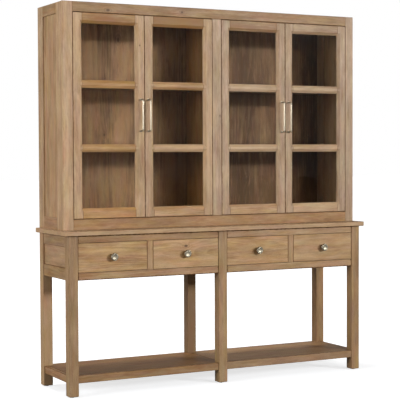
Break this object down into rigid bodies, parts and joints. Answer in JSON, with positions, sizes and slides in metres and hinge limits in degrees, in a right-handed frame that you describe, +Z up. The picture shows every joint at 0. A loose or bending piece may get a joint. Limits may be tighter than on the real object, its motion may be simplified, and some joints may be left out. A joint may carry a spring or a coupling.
{
  "type": "dresser with hutch",
  "caption": "Wide wooden dresser: glazed hutch with hinged doors over an open-legged base with drawers and a low shelf, for storing and showing tableware.",
  "frame": {"origin": "on the floor, in the middle of the whole piece's width and depth", "axes": "+X to the right seen from the front, +Y towards the wall, +Z up"},
  "size_m": [2.068, 0.5, 2.286],
  "materials": {
    "oak": "light brown oiled oak with open grain",
    "oak_interior": "oak inside the hutch and drawers, plain oiled",
    "glass": "clear, slightly wavy glass with fine seeds",
    "aged_brass": "satin aged brass",
    "pewter": "polished pewter-toned metal",
    "steel": "zinc-plated steel",
    "dark_nylon": "dark brown nylon glide",
    "catch_plastic": "brown plastic catch case"
  },
  "bodies": {
    "carcass": {"leg_front_left": "oak", "leg_front_middle": "oak", "leg_front_right": "oak", "leg_back_left": "oak", "leg_back_middle": "oak", "leg_back_right": "oak", "leg_glides": "dark_nylon", "lower_shelf_rails": "oak", "lower_shelf_boards": "oak", "drawer_face_frame": "oak", "drawer_bearers": "oak", "base_end_rails": "oak", "base_end_panels": "oak", "base_back_aprons": "oak", "base_top": "oak", "hutch_bottom": "oak", "hutch_top": "oak", "hutch_end_stiles": "oak", "hutch_end_rails": "oak", "hutch_end_panels": "oak", "face_frame_stiles": "oak", "face_frame_rails": "oak", "hutch_partition": "oak", "hutch_back_panels": "oak_interior", "hutch_shelves": "oak", "shelf_pins": "steel", "hinge_pivots": "steel", "door_catches": "catch_plastic"},
    "door_1": {"door_1_stiles": "oak", "door_1_rails": "oak", "door_1_glass": "glass", "door_1_pull": "aged_brass", "door_1_hinge_leaves": "steel"},
    "door_2": {"door_2_stiles": "oak", "door_2_rails": "oak", "door_2_glass": "glass", "door_2_pull": "aged_brass", "door_2_hinge_leaves": "steel"},
    "door_3": {"door_3_stiles": "oak", "door_3_rails": "oak", "door_3_glass": "glass", "door_3_pull": "aged_brass", "door_3_hinge_leaves": "steel"},
    "door_4": {"door_4_stiles": "oak", "door_4_rails": "oak", "door_4_glass": "glass", "door_4_pull": "aged_brass", "door_4_hinge_leaves": "steel"},
    "drawer_1": {"drawer_1_front": "oak", "drawer_1_box": "oak_interior", "drawer_1_knob": "pewter"},
    "drawer_2": {"drawer_2_front": "oak", "drawer_2_box": "oak_interior", "drawer_2_knob": "pewter"},
    "drawer_3": {"drawer_3_front": "oak", "drawer_3_box": "oak_interior", "drawer_3_knob": "pewter"},
    "drawer_4": {"drawer_4_front": "oak", "drawer_4_box": "oak_interior", "drawer_4_knob": "pewter"}
  },
  "joints": [
    {"name": "door_1_hinge", "type": "hinge", "parent": "carcass", "child": "door_1", "pos_m": [-0.9395, -0.1515, 1.627], "axis": [0, 0, -1], "range_deg": [0, 105]},
    {"name": "door_2_hinge", "type": "hinge", "parent": "carcass", "child": "door_2", "pos_m": [-0.039, -0.1515, 1.627], "axis": [0, 0, 1], "range_deg": [0, 85]},
    {"name": "door_3_hinge", "type": "hinge", "parent": "carcass", "child": "door_3", "pos_m": [0.039, -0.1515, 1.627], "axis": [0, 0, -1], "range_deg": [0, 85]},
    {"name": "door_4_hinge", "type": "hinge", "parent": "carcass", "child": "door_4", "pos_m": [0.9395, -0.1515, 1.627], "axis": [0, 0, 1], "range_deg": [0, 105]},
    {"name": "drawer_1_slide", "type": "slide", "parent": "carcass", "child": "drawer_1", "axis": [0, -1, 0], "range_m": [0, 0.3]},
    {"name": "drawer_2_slide", "type": "slide", "parent": "carcass", "child": "drawer_2", "axis": [0, -1, 0], "range_m": [0, 0.3]},
    {"name": "drawer_3_slide", "type": "slide", "parent": "carcass", "child": "drawer_3", "axis": [0, -1, 0], "range_m": [0, 0.3]},
    {"name": "drawer_4_slide", "type": "slide", "parent": "carcass", "child": "drawer_4", "axis": [0, -1, 0], "range_m": [0, 0.3]}
  ]
}
